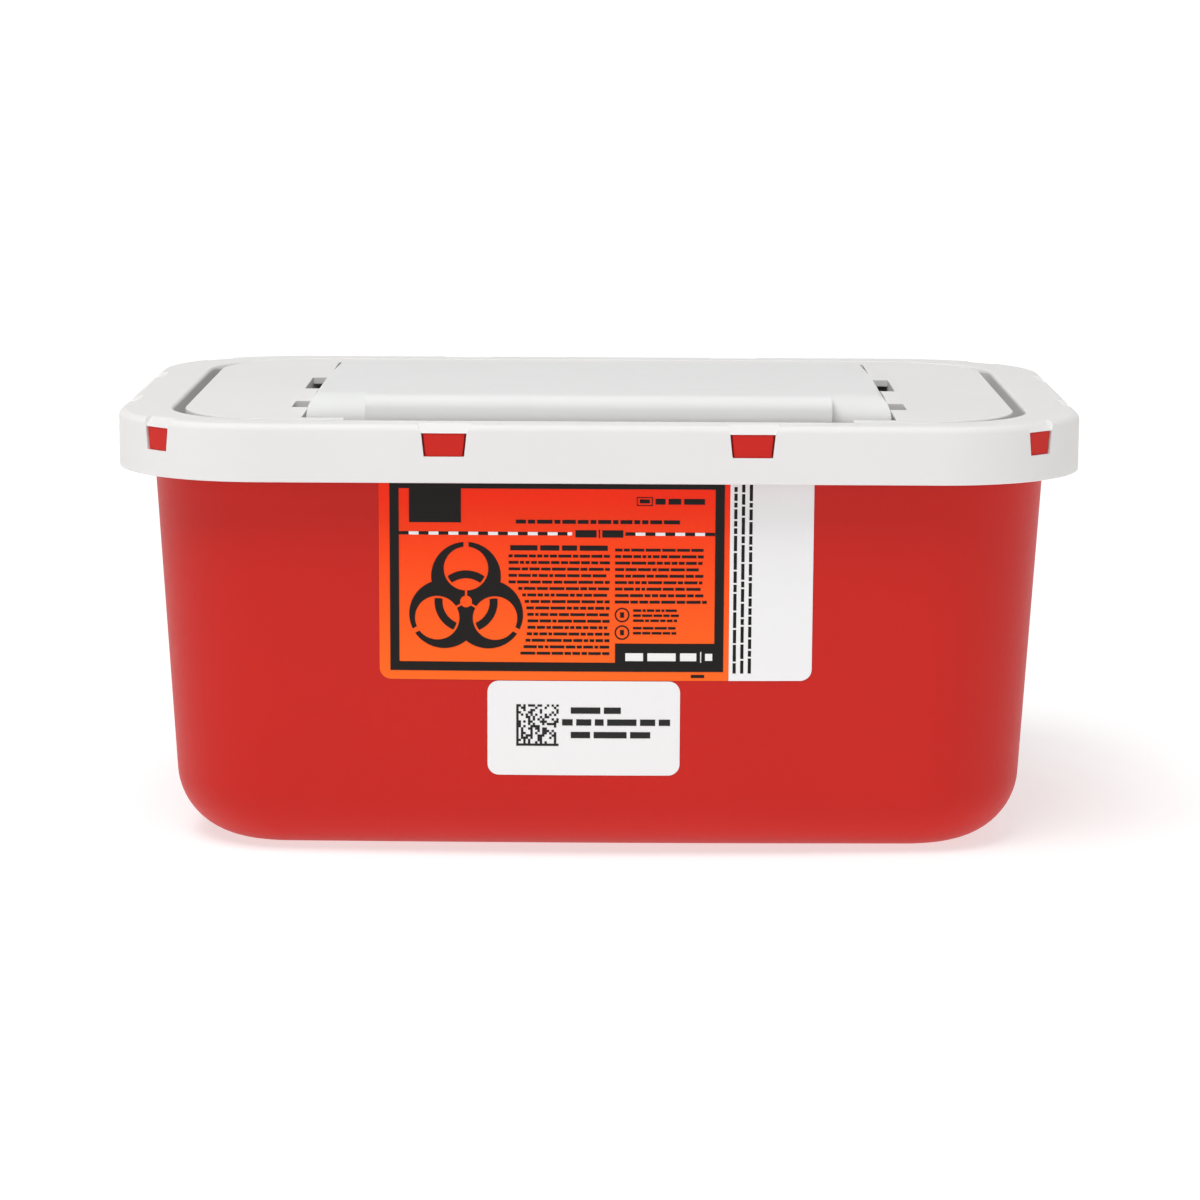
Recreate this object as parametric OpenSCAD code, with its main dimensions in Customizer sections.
// Sharps container: a snap-lidded tub with a rocking drop door.
// The origin is the middle of the base. +Z is up and the labelled front wall faces -Y.

/* [Lid] */
// Length of the lid along X
lid_l = 257.4; // [254:0.2:262]
// Depth of the lid along Y
lid_w = 177; // [175:0.5:181]
// Height of the lid's flat top above the floor
lid_top_z = 117.2; // [114:0.1:122]
// Height of the skirt that hangs round the tub's rim
skirt_h = 15.3; // [14:0.1:18]
// Radius of the lid's corners seen from above
lid_corner_r = 40; // [36:1:44]
// Wall thickness of the skirt, rim and deck
lid_wall = 1.8; // [1.6:0.1:2]
// Rounding of the lid's upper outer edge
lid_edge_r = 1.7; // [1:0.1:1.8]

/* [Rim groove] */
// Width of the flat rim along the two short sides
rim_side_w = 14.4; // [13:0.1:15]
// Width of the flat rim along the front and back
rim_front_w = 9.5; // [9:0.1:11]
// Width of the groove round the deck at the short sides
groove_w = 3.3; // [2.5:0.1:4]
// Width of the groove along the front and back
groove_front_w = 1.6; // [1.2:0.1:1.8]
// Depth of the groove at the short sides, where it plugs into the tub
groove_depth = 10; // [8:0.1:11]
// Depth of the groove along the front and back
groove_front_depth = 1; // [0.6:0.1:1.2]

/* [Snap fit] */
// Width of a snap window at its top
window_top_w = 11.8; // [10:0.1:13]
// Width of a snap window at its bottom
window_bottom_w = 10.5; // [9:0.1:11.5]
// Height of a snap window
window_h = 6.1; // [5:0.1:6.6]
// Distance from the lid's top down to a window's upper edge
window_drop = 2.3; // [2.2:0.1:2.8]
// How far the slanted scoop above each window cuts in at the lid's top
scoop_depth = 3.4; // [2:0.1:3.8]
// Distance of the front and back windows from the middle
window_x = 40; // [30:1:55]
// Distance of the side windows from the middle
window_y = 31; // [24:1:36]

/* [Tub] */
// Length of the tub just under its rim
tub_l = 240.4; // [237:0.2:241]
// Depth of the tub just under its rim
tub_w = 160.8; // [159:0.2:162]
// Inward slope of each wall, in degrees from upright
tub_draft = 3.4; // [1:0.1:4]
// Radius of the tub's corners at the top, seen from above
tub_corner_r = 37; // [34:1:40]
// Wall thickness of the tub
tub_wall = 2; // [1.6:0.1:2.4]
// Thickness of the tub's floor
tub_floor = 2.4; // [2:0.1:4]
// Rounding between the walls and the base
base_fillet_r = 18; // [12:1:22]
// How far the long walls swell outwards near the base
wall_bow = 4; // [0:0.1:5]

/* [Drop door] */
// Half the length of the opening in the deck
opening_half_l = 78; // [76:1:80]
// Where the opening ends at the back
opening_back_y = 68; // [66:1:70]
// Half the length of the door's grip block
grip_half_l = 61; // [50:1:64]
// Height of the grip block above the lid's top
grip_rise = 6.7; // [5:0.1:8]
// Distance of the pivot in front of the lid's middle
pivot_front = 17; // [15:0.5:20]
// Radius of the door's stub pins
pin_r = 2.2; // [1.8:0.1:2.4]
// Radial clearance of the pins in their bearings
pin_gap = 0.06; // [0.02:0.01:0.1]

/* [Labels] */
// Length of the main label
label_l = 113.9; // [100:0.1:120]
// Height of the main label's lower edge above the floor
label_z = 48.5; // [47:0.1:55]
// Height of the main label
label_h = 56; // [45:0.1:57]
// Length of the lot sticker
sticker_l = 50.8; // [40:0.1:60]
// Height of the lot sticker
sticker_h = 25.4; // [20:0.1:26]

/* [Hidden] */

eps = 0.01;                                  // thickness of a slice in a lofted shape
big = 400;                                   // more than any size here
red = "#c83228";
white = "#efeeec";
natural = "#e2e5e0";
orange = "#ff5a26";
paper = "#fbfbfa";

skirt_z = lid_top_z - skirt_h;               // lower edge of the skirt
deck_under_z = lid_top_z - lid_wall;
groove_floor_z = lid_top_z - groove_depth;
plug_z = groove_floor_z - lid_wall;          // underside of the groove's floor
plug_gap = 0.6;                              // between the plug and the tub's wall
rim_wall_l = lid_l - 2 * rim_side_w;         // groove's outer face, both ways
rim_wall_w = lid_w - 2 * rim_front_w;
deck_l = rim_wall_l - 2 * groove_w;          // groove's inner face, both ways
deck_w = rim_wall_w - 2 * groove_front_w;
plan_n = 96;                                 // segments in a plan corner circle

window_z1 = lid_top_z - window_drop;
window_z0 = window_z1 - window_h;
scoop_flare = 1.6;                           // how far a scoop widens to each side
scoop_foot = 0.3;                            // how far it cuts in at the window
corner_narrow = 1.6;                         // half of what a corner window lacks in width
corner_aim = 47.6;                           // where it faces, in degrees from the X axis
lug_gap = 0.4;                               // between a lug and its window's edges
lug_recess = 0.5;                            // how far a lug's face lies inside the skirt's
lug_root = 1;                                // how far a lug is sunk in the rim's lip

rim_gap = 0.5;                               // between the tub's rim and the skirt
rim_top_z = deck_under_z - 0.6;              // top of the tub's rim
rim_lip_z = window_z0 - 0.6;                 // lower edge of the rim's turned-down lip
rim_l = lid_l - 2 * (lid_wall + rim_gap);
rim_w = lid_w - 2 * (lid_wall + rim_gap);
rim_r = lid_corner_r - lid_wall - rim_gap;
rim_t = 1.8;
fillet_n = 7;                                // slices round the base

pivot_y = -pivot_front;
pivot_z = lid_top_z - 3.8;
bearing_l = 4.5;                             // how far a bearing reaches beyond the opening
bearing_front = 19;                          // its length in front of the pin, along Y
bearing_back = 12;                           // its length behind the pin
bearing_rise = 0.9;                          // top of its dome above the deck
bearing_drop = 3;                            // plastic below the pin
dome_r = 150;
notch_front = 14;                            // the notches in front of and behind it
notch_back = 30;
collar_h = 6;                                // lip round the opening, below the deck
collar_t = 1.6;
gap_half_l = 66.6;                           // the gap in front of the door is this long each way
land_w = 3.4;                                // deck lands at the two ends of that gap
stop_z = lid_top_z - 5.2;                    // the door's front rests here

door_gap = 1.2;                              // beside the door's back part
door_half_l = opening_half_l - door_gap;
heel_y = -37;                                // the door's lower edge starts to drop here
grip_y = -deck_w / 2 - 0.1;                  // the grip's upright front face
roll_y = grip_y + 5;                         // the rolled shoulders are set back
roll_r = 9;
grip_edge_r = 3.5;
grip_depth = 14;                             // of the block that stands out of the roll
door_back_y = opening_back_y - 0.7;
front_t = 2.4;                               // thick front half, so the door swings shut
back_t = 1.3;
side_t = 1.6;                                // the door's side walls
foot_gap = 0.4;                              // between the shut door and its stop
door_foot_z = stop_z + foot_gap;
grip_top_z = lid_top_z + grip_rise;
back_top_z = lid_top_z + 0.2;
side_round = 6;                              // rounding of the door's long edges
side_edge_z = lid_top_z + 0.5;               // where that rounding meets the side
boss_r = 4.6;                                // round the root of each pin
pin_len = door_gap + 4;
rib_t = 1.6;

label_t = 0.25;
label_x = -0.5;                              // the label's middle
sticker_x = -3.6;
sticker_gap = 0.2;                           // between the label and the sticker
sticker_z = label_z - sticker_h - sticker_gap;
label_corner_r = 3;

// --- plan outlines -------------------------------------------------------

// A rectangle with round corners, centred on the origin
module round_rect(l, w, r) {
    square([l - 2 * r, w], center = true);
    square([l, w - 2 * r], center = true);
    for (x = [-1, 1], y = [-1, 1])
        translate([x * (l / 2 - r), y * (w / 2 - r)])
            circle(r = r, $fn = plan_n);
}

// The same with its two long sides bulged outwards by a shallow arc
module bowed_rect(l, w, r, bow) {
    flat = l / 2 - r;
    steps = 8;
    union() {
        round_rect(l, w, r);
        polygon([for (side = [1, -1], i = [-steps:steps])
            let (t = i / steps)
            [side * flat * t, side * (w / 2 + bow * (1 - t * t))]]);
    }
}

// A ring between two rounded rectangles
module plan_ring(l, w, r, t) {
    difference() {
        round_rect(l, w, r);
        round_rect(l - 2 * t, w - 2 * t, r - t);
    }
}

// --- tub -----------------------------------------------------------------

// How much a wall has moved in at height z, from its size under the rim
function draft_in(z) = (rim_lip_z - z) * tan(tub_draft);

// The tub's solid outside, grown outwards by g
module tub_form(g = 0, floor_z = 0) {
    fillet = base_fillet_r + g;
    hull() {
        for (i = [0:fillet_n]) {
            a = 90 * i / fillet_n;
            z = floor_z + fillet * (1 - cos(a));
            cut = draft_in(z) + fillet * (1 - sin(a)) - g;
            translate([0, 0, z])
                linear_extrude(eps)
                    bowed_rect(tub_l - 2 * cut, tub_w - 2 * cut,
                               max(tub_corner_r - cut, 4), wall_bow * sin(a));
        }
        translate([0, 0, rim_lip_z])
            linear_extrude(rim_top_z - rim_lip_z)
                round_rect(tub_l + 2 * g, tub_w + 2 * g, tub_corner_r + g);
    }
}

// One outward snap lug, drawn about the origin and facing +X
module snap_lug(reach) {
    half_top = window_top_w / 2 - $narrow - lug_gap;
    half_bottom = window_bottom_w / 2 - $narrow - lug_gap;
    low = window_z0 + lug_gap;
    high = window_z1 - lug_gap;
    rotate([90, 0, 90])
        linear_extrude(reach)
            polygon([[-half_bottom, low], [half_bottom, low], [half_top, high], [-half_top, high]]);
}

// Puts its children at each of the twelve snap places, turned to face outwards
module at_snaps(inset) {
    for (side = [-1, 1]) {
        $narrow = 0;
        for (x = [-window_x, window_x])
            translate([x, side * (lid_w / 2 - inset), 0])
                rotate(side * 90)
                    children();
        for (y = [-window_y, window_y])
            translate([side * (lid_l / 2 - inset), y, 0])
                rotate(90 - side * 90)
                    children();
    }
    for (side = [-1, 1], end = [-1, 1]) {
        $narrow = corner_narrow;
        translate([side * (lid_l / 2 - lid_corner_r), end * (lid_w / 2 - lid_corner_r), 0])
            rotate(atan2(end * sin(corner_aim), side * cos(corner_aim)))
                translate([lid_corner_r - inset, 0, 0])
                    children();
    }
}

module tub() {
    color(red) {
        difference() {
            tub_form();
            tub_form(-tub_wall, tub_floor);
            translate([0, 0, rim_top_z - 1])
                linear_extrude(rim_t)
                    round_rect(tub_l - 2 * tub_wall, tub_w - 2 * tub_wall, tub_corner_r - tub_wall);
        }
        // rim: a flange that turns out and then down, with the lugs on its lip
        translate([0, 0, rim_top_z - rim_t])
            linear_extrude(rim_t)
                plan_ring(rim_l, rim_w, rim_r, (rim_l - tub_l) / 2 + 1);
        translate([0, 0, rim_lip_z])
            linear_extrude(rim_top_z - rim_lip_z)
                plan_ring(rim_l, rim_w, rim_r, rim_t);
        at_snaps(lid_wall + rim_gap + lug_root)
            snap_lug(lid_wall + rim_gap + lug_root - lug_recess);
    }
}

// --- lid -----------------------------------------------------------------

// The lid's outside: an upright skirt with a rounded upper edge
module lid_form() {
    steps = 5;
    hull() {
        translate([0, 0, skirt_z])
            linear_extrude(skirt_h - lid_edge_r)
                round_rect(lid_l, lid_w, lid_corner_r);
        for (i = [1:steps]) {
            a = 90 * i / steps;
            cut = lid_edge_r * (1 - cos(a));
            translate([0, 0, lid_top_z - lid_edge_r * (1 - sin(a)) - eps])
                linear_extrude(eps)
                    round_rect(lid_l - 2 * cut, lid_w - 2 * cut, lid_corner_r - cut);
        }
    }
}

// The groove seen from above, widened by t on both sides
module groove_band(t = 0) {
    r_out = lid_corner_r - rim_front_w;
    r_in = r_out - groove_front_w;
    difference() {
        round_rect(rim_wall_l + 2 * t, rim_wall_w + 2 * t, r_out + t);
        round_rect(deck_l - 2 * t, deck_w - 2 * t, r_in - t);
    }
}

// The part of that band that lies inside the tub's wall with a gap of g
module plug_band(t, g) {
    intersection() {
        groove_band(t);
        round_rect(tub_l - 2 * (tub_wall + g), tub_w - 2 * (tub_wall + g), tub_corner_r - tub_wall - g);
    }
}

// Skirt, rim, groove and deck, before anything is cut through them
module lid_shell() {
    difference() {
        lid_form();
        translate([0, 0, skirt_z - 1])
            linear_extrude(deck_under_z - skirt_z + 1)
                round_rect(lid_l - 2 * lid_wall, lid_w - 2 * lid_wall, lid_corner_r - lid_wall);
        translate([0, 0, lid_top_z - groove_front_depth])
            linear_extrude(big)
                groove_band();
        translate([0, 0, deck_under_z - 1])
            linear_extrude(big)
                plug_band(0, plug_gap + lid_wall);
    }
    // the groove's walls and floor, which plug into the tub's mouth
    difference() {
        translate([0, 0, plug_z])
            linear_extrude(deck_under_z - plug_z + lid_wall / 4)
                plug_band(lid_wall, plug_gap);
        translate([0, 0, groove_floor_z])
            linear_extrude(big)
                plug_band(0, plug_gap + lid_wall);
    }
}

// Lip that stiffens the opening from below; its front part is the door's stop
module collar() {
    half_l = opening_half_l + bearing_l;
    front = -deck_w / 2;
    translate([0, 0, deck_under_z - collar_h])
        linear_extrude(collar_h + lid_wall / 2)
            difference() {
                translate([-half_l - collar_t, front])
                    square([2 * (half_l + collar_t), opening_back_y + collar_t - front]);
                translate([-half_l, front + collar_t])
                    square([2 * half_l, opening_back_y - front - collar_t]);
            }
}

// One snap window with the slanted scoop above it; the skirt's face is at the origin, towards +X
module snap_window() {
    top = window_top_w / 2 - $narrow;
    bottom = window_bottom_w / 2 - $narrow;
    over = lid_top_z + 1;
    slant = (scoop_depth - scoop_foot) / window_drop;
    reach = lid_wall + lug_root;
    translate([-reach, 0, 0])
        rotate([90, 0, 90])
            linear_extrude(2 * reach)
                polygon([[-bottom, window_z0], [bottom, window_z0], [top, window_z1], [-top, window_z1]]);
    intersection() {
        translate([-2 * reach, 0, 0])
            rotate([90, 0, 90])
                linear_extrude(4 * reach)
                    polygon([[-top, window_z1 - eps], [top, window_z1 - eps],
                             [top + scoop_flare, over], [-top - scoop_flare, over]]);
        translate([0, big / 2, 0])
            rotate([90, 0, 0])
                linear_extrude(big)
                    polygon([[reach, window_z1 - eps], [-scoop_foot, window_z1 - eps],
                             [-scoop_depth - slant, over], [reach, over]]);
    }
}

// Opening in the deck with the notches beside the bearings, seen from above
module opening_outline() {
    land_back = -deck_w / 2 + land_w;
    translate([-opening_half_l, land_back])
        square([2 * opening_half_l, opening_back_y - land_back]);
    translate([-gap_half_l, -rim_wall_w / 2])
        square([2 * gap_half_l, land_back + rim_wall_w / 2 + 1]);
    for (side = [0, 1])
        mirror([side, 0, 0]) {
            translate([opening_half_l - 1, pivot_y + bearing_back])
                square([bearing_l + 1, notch_back]);
            translate([opening_half_l - 1, pivot_y - bearing_front - notch_front])
                square([bearing_l + 1, notch_front]);
        }
}

// Bearing block for the pin at +X, with a gently domed top
module bearing_block() {
    low = pivot_z - pin_r - bearing_drop;
    middle_y = pivot_y + (bearing_back - bearing_front) / 2;
    intersection() {
        translate([opening_half_l, pivot_y - bearing_front, low])
            cube([bearing_l, bearing_front + bearing_back, lid_top_z + 2 - low]);
        translate([opening_half_l - 1, middle_y, lid_top_z + bearing_rise - dome_r])
            rotate([0, 90, 0])
                cylinder(h = bearing_l + 2, r = dome_r, $fn = 720);
    }
}

// Hole for that pin, as deep as the block
module pin_bore() {
    translate([opening_half_l - 1, pivot_y, pivot_z])
        rotate([0, 90, 0])
            cylinder(h = bearing_l + 1, r = pin_r + pin_gap, $fn = 64);
}

module lid() {
    color(white)
        difference() {
            union() {
                difference() {
                    union() {
                        lid_shell();
                        collar();
                    }
                    translate([0, 0, stop_z])
                        linear_extrude(big)
                            opening_outline();
                    at_snaps(0)
                        snap_window();
                }
                for (side = [0, 1])
                    mirror([side, 0, 0])
                        bearing_block();
            }
            for (side = [0, 1])
                mirror([side, 0, 0])
                    pin_bore();
        }
}

// --- drop door -----------------------------------------------------------

// Height of the door's gently sloping top at depth y
function door_top(y) = back_top_z + (grip_top_z - back_top_z) * (door_back_y - y) / (door_back_y - grip_y);

// Quarter-round nose in (Y, Z) that starts on the sloping top and ends facing forwards at y
function nose(y, r, inset) = [for (i = [0:8])
    let (a = 90 * i / 8)
    [y + r - (r - inset) * sin(a), door_top(y + r) - r + (r - inset) * cos(a)]];

// Extrudes a (Y, Z) outline along X, centred
module along_x(half) {
    translate([-half, 0, 0])
        rotate([90, 0, 90])
            linear_extrude(2 * half)
                children();
}

// Upright slab along Y whose two upper long edges are rounded, as half its length says
module rounded_roof(half, inset) {
    r = side_round - inset;
    top = side_edge_z + side_round;
    translate([0, big / 2, 0])
        rotate([90, 0, 0])
            linear_extrude(big)
                polygon(concat(
                    [[-half + inset, 0]],
                    [for (i = [0:8]) let (a = 90 * i / 8)
                        [-half + side_round - r * cos(a), top - side_round + r * sin(a)]],
                    [[-half + side_round, big], [half - side_round, big]],
                    [for (i = [8:-1:0]) let (a = 90 * i / 8)
                        [half - side_round + r * cos(a), top - side_round + r * sin(a)]],
                    [[half - inset, 0]]
                ));
}

// The door as a solid lump, taken in by inset at its sides and by the two thicknesses on top
module door_lump(inset, t_front, t_back) {
    floor_z = pivot_z - boss_r - 5;
    end_y = door_back_y - t_back;
    // sloping roof, rolled down at its front
    intersection() {
        along_x(door_half_l)
            polygon(concat([[end_y, floor_z], [end_y, door_top(door_back_y) - t_back],
                            [pivot_y, door_top(pivot_y) - t_back], [pivot_y, door_top(pivot_y) - t_front]],
                           nose(roll_y, roll_r, t_front), [[roll_y + t_front, floor_z]]));
        rounded_roof(door_half_l, inset);
    }
    // grip block with its upright face
    along_x(grip_half_l - inset)
        polygon(concat([[grip_y + grip_depth, floor_z],
                        [grip_y + grip_depth, door_top(grip_y + grip_depth) - t_front]],
                       nose(grip_y, grip_edge_r, t_front), [[grip_y + t_front, floor_z]]));
}

// Side outline of everything the door keeps: its lower edge and the pin bosses
module door_reach() {
    boss_low = pivot_z - boss_r;
    polygon([[grip_y - 1, door_foot_z], [heel_y, door_foot_z], [pivot_y - boss_r, boss_low + 1],
             [pivot_y, boss_low], [pivot_y + boss_r, boss_low + 1], [door_back_y - 20, lid_top_z - 4],
             [door_back_y + 1, lid_top_z - 3], [door_back_y + 1, grip_top_z + 5], [grip_y - 1, grip_top_z + 5]]);
}

module drop_door() {
    color(natural) {
        intersection() {
            difference() {
                door_lump(0, 0, 0);
                door_lump(side_t, front_t, back_t);
            }
            along_x(big / 2)
                door_reach();
        }
        // ribs under the raised front
        for (x = [-grip_half_l / 2, 0, grip_half_l / 2])
            translate([x, 0, 0])
                along_x(rib_t / 2)
                    polygon(concat([[pivot_y, door_top(pivot_y) - 0.5]], nose(roll_y, roll_r, 0.5),
                                   [[roll_y + 0.5, door_foot_z], [heel_y, door_foot_z + 2],
                                    [pivot_y, door_top(pivot_y) - 5]]));
        for (side = [-1, 1])
            translate([side * (door_half_l - side_t / 2), pivot_y, pivot_z])
                rotate([0, side * 90, 0])
                    cylinder(h = pin_len + side_t / 2, r = pin_r, $fn = 64);
    }
}

// --- labels --------------------------------------------------------------

// A thin skin on the front wall, inside a rounded rectangle in (X, Z)
module wall_skin(x, z, l, h, r) {
    difference() {
        intersection() {
            tub_form(label_t);
            translate([x, 0, z + h / 2])
                rotate([90, 0, 0])
                    linear_extrude(big)
                        round_rect(l, h, r);
        }
        tub_form();
    }
}

module hazard_label() {
    color(orange)
        wall_skin(label_x, label_z, label_l, label_h, label_corner_r);
}

module lot_sticker() {
    color(paper)
        wall_skin(sticker_x, sticker_z, sticker_l, sticker_h, label_corner_r);
}

tub();
lid();
drop_door();
hazard_label();
lot_sticker();
